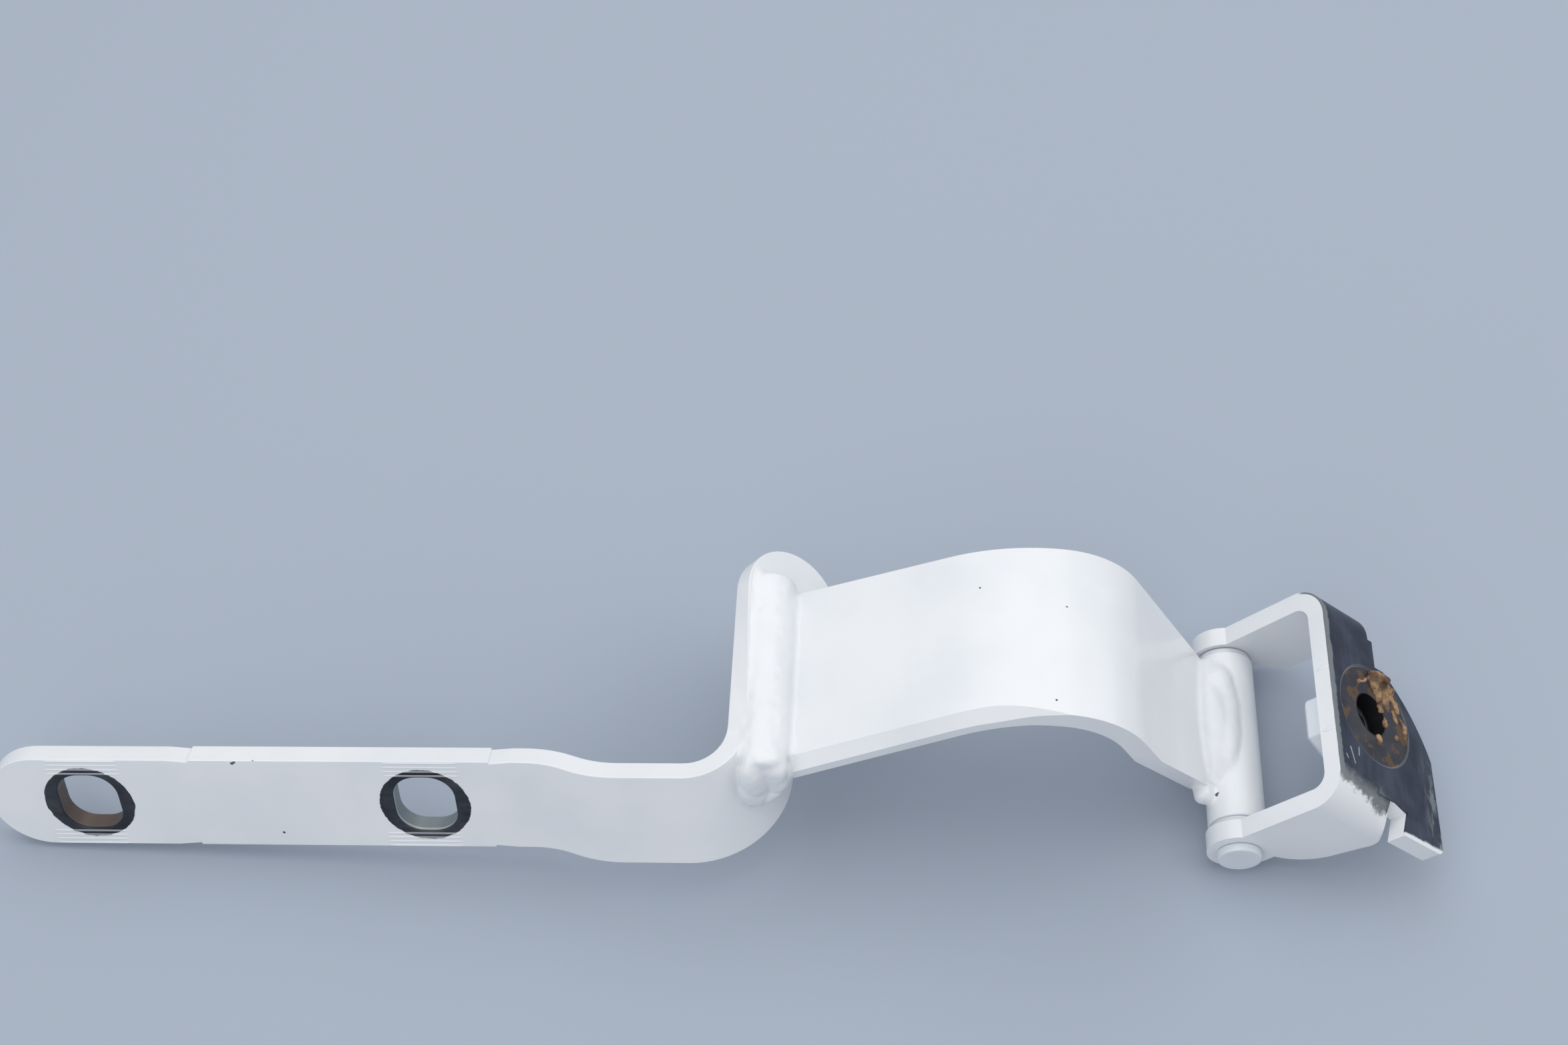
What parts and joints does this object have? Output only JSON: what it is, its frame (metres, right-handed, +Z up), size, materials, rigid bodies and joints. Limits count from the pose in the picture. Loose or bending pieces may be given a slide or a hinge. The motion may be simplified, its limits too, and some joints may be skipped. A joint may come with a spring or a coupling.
{
  "type": "tailgate hinge",
  "caption": "Cranked tailgate hinge: a pierced door strap swept into a leg, a welded gooseneck arm, and a clevis bracket turning on a riveted pin, in white paint worn bare at the seats.",
  "frame": {"origin": "on the surface it lies on, below the middle of its outline", "axes": "+X along the strap towards the bracket, +Y along the hinge pin away from the strap's near face, +Z up"},
  "size_m": [0.3854, 0.0834, 0.0653],
  "materials": {
    "white_paint": "gloss white body paint over steel, bare where washers sat",
    "bracket_paint": "gloss white body paint, rubbed to grey steel on the outer face of the base",
    "pin_paint": "painted over with the hinge",
    "nut_paint": "painted over with the bracket, bare thread",
    "bush": "flange rims painted over with the hinge",
    "sealant": "dried brown sealant, dull"
  },
  "bodies": {
    "arm": {"strap": "white_paint", "gooseneck": "white_paint", "barrel": "white_paint", "strap_weld_outer": "white_paint", "strap_weld_inner": "white_paint", "barrel_weld_outer": "white_paint", "barrel_weld_inner": "white_paint", "tack_weld": "white_paint", "near_bush": "bush", "far_bush": "bush"},
    "bracket": {"bracket": "bracket_paint", "hinge_pin": "pin_paint", "weld_nut": "nut_paint", "sealant_residue": "sealant"}
  },
  "joints": [
    {"name": "hinge", "type": "hinge", "parent": "arm", "child": "bracket", "pos_m": [0.14043, 0.00333, 0.0085], "axis": [0, 1, 0], "range_deg": [-58, 200]}
  ]
}
